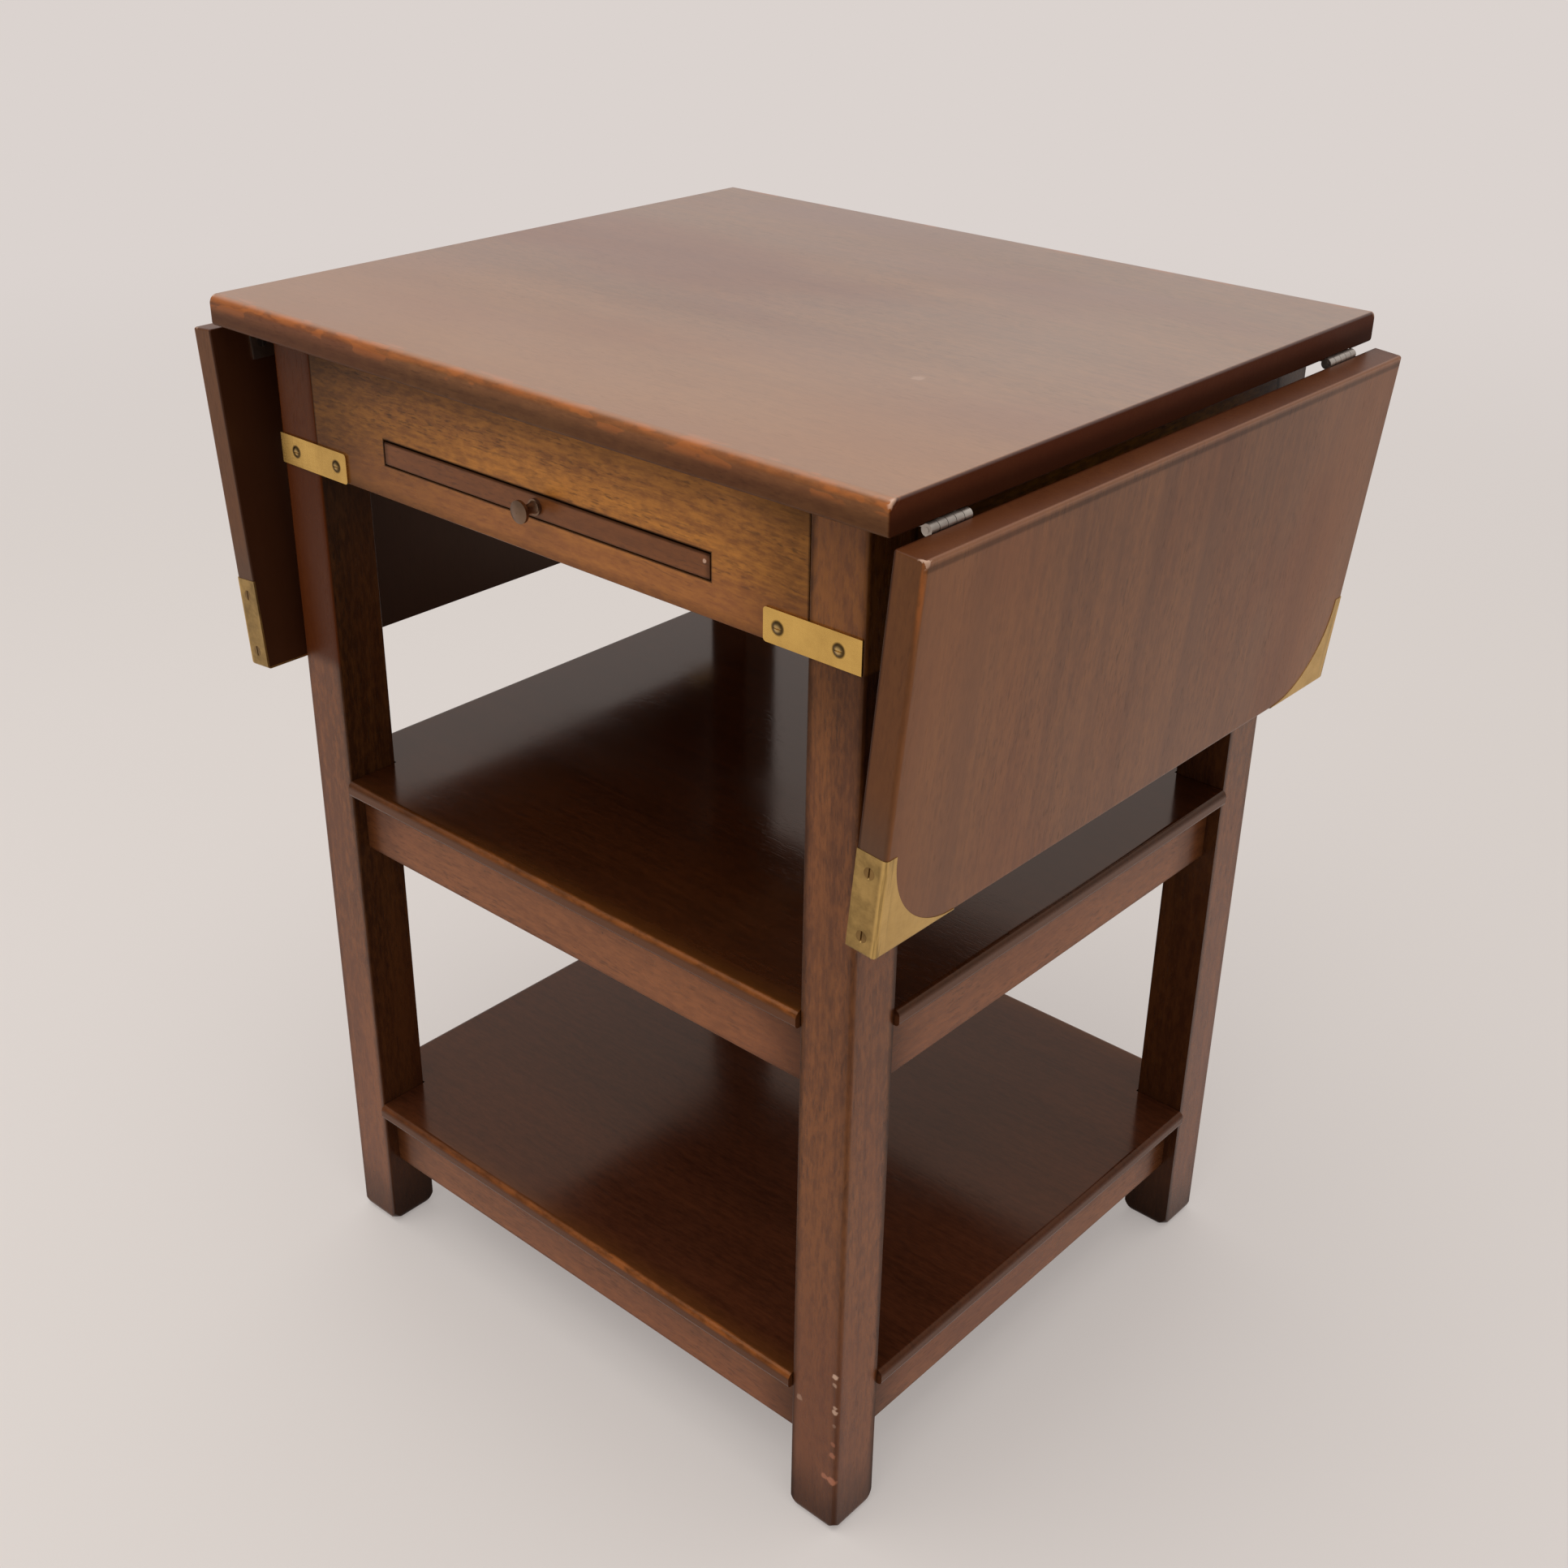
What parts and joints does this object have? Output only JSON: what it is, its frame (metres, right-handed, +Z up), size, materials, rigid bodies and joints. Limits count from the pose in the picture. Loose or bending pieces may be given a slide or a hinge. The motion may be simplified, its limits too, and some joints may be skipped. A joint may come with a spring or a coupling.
{
  "type": "drop leaf side table",
  "caption": "Square mahogany side table with hinged drop leaves held up by slotted stays, a pull-out slide in the apron, open shelves and brass corner hardware.",
  "frame": {"origin": "on the floor, below the middle of the top", "axes": "+X to the right, where one leaf hangs; -Y to the front, where the slide pulls out; +Z up"},
  "size_m": [0.5214, 0.4286, 0.635],
  "materials": {
    "mahogany_board": "satin-gloss polish over straight grain",
    "mahogany_frame": "satin polish, darker toward the joints",
    "plain_wood": "unpolished",
    "brass": "satin, lightly tarnished",
    "aged_brass": "darkened by age",
    "steel": "dull"
  },
  "bodies": {
    "frame": {"table_top": "mahogany_board", "middle_shelf": "mahogany_board", "lower_shelf": "mahogany_board", "leg_front_left": "mahogany_frame", "leg_front_right": "mahogany_frame", "leg_back_left": "mahogany_frame", "leg_back_right": "mahogany_frame", "apron_front": "mahogany_frame", "apron_back": "mahogany_frame", "apron_left": "mahogany_frame", "apron_right": "mahogany_frame", "middle_rail_front": "mahogany_frame", "middle_rail_back": "mahogany_frame", "middle_rail_left": "mahogany_frame", "middle_rail_right": "mahogany_frame", "lower_rail_front": "mahogany_frame", "lower_rail_back": "mahogany_frame", "lower_rail_left": "mahogany_frame", "lower_rail_right": "mahogany_frame", "slide_runner_left": "plain_wood", "slide_runner_right": "plain_wood", "glue_blocks": "plain_wood", "corner_strap_front_left": "brass", "corner_strap_front_right": "brass", "corner_strap_back_left": "brass", "corner_strap_back_right": "brass", "strap_screws": "aged_brass", "hinge_pins": "steel", "hinge_top_screws": "steel", "top_screws": "steel", "stay_pins": "steel", "hinge_top_plate_left_front": "steel", "hinge_top_plate_left_back": "steel", "hinge_top_plate_right_front": "steel", "hinge_top_plate_right_back": "steel"},
    "candle_slide": {"slide_board": "mahogany_board", "slide_knob": "aged_brass", "slide_stop_pins": "plain_wood"},
    "leaf_left": {"leaf_left": "mahogany_board", "leaf_sheet_screws_left": "steel", "leaf_bracket_screws_left": "aged_brass", "hinge_leaf_plate_left_front": "steel", "hinge_leaf_plate_left_back": "steel", "stay_bracket_left_front": "steel", "stay_bracket_left_back": "steel", "leaf_bracket_left_front": "brass", "leaf_bracket_left_back": "brass"},
    "stay_left": {"stay_arm_left_front": "steel", "stay_arm_left_back": "steel"},
    "leaf_right": {"leaf_right": "mahogany_board", "leaf_sheet_screws_right": "steel", "leaf_bracket_screws_right": "aged_brass", "hinge_leaf_plate_right_front": "steel", "hinge_leaf_plate_right_back": "steel", "stay_bracket_right_front": "steel", "stay_bracket_right_back": "steel", "leaf_bracket_right_front": "brass", "leaf_bracket_right_back": "brass"},
    "stay_right": {"stay_arm_right_front": "steel", "stay_arm_right_back": "steel"}
  },
  "joints": [
    {"name": "leaf_left_hinge", "type": "hinge", "parent": "frame", "child": "leaf_left", "pos_m": [-0.2417, 0, 0.6157], "axis": [0, 1, 0], "range_deg": [-2, 95.3]},
    {"name": "stay_left_pivot", "type": "hinge", "parent": "leaf_left", "child": "stay_left", "pos_m": [-0.23051, 0, 0.55675], "axis": [0, 1, 0], "range_deg": [-48.15, 1.5]},
    {"name": "leaf_right_hinge", "type": "hinge", "parent": "frame", "child": "leaf_right", "pos_m": [0.2417, 0, 0.6157], "axis": [0, -1, 0], "range_deg": [-2, 95.3]},
    {"name": "stay_right_pivot", "type": "hinge", "parent": "leaf_right", "child": "stay_right", "pos_m": [0.23051, 0, 0.55675], "axis": [0, -1, 0], "range_deg": [-48.15, 1.5]},
    {"name": "slide_pull", "type": "slide", "parent": "frame", "child": "candle_slide", "axis": [0, -1, 0], "range_m": [0, 0.23]}
  ],
  "couplings": [
    {"joint": "stay_left_pivot", "follows": "leaf_left_hinge", "ratio": -0.5},
    {"joint": "stay_right_pivot", "follows": "leaf_right_hinge", "ratio": -0.5}
  ]
}
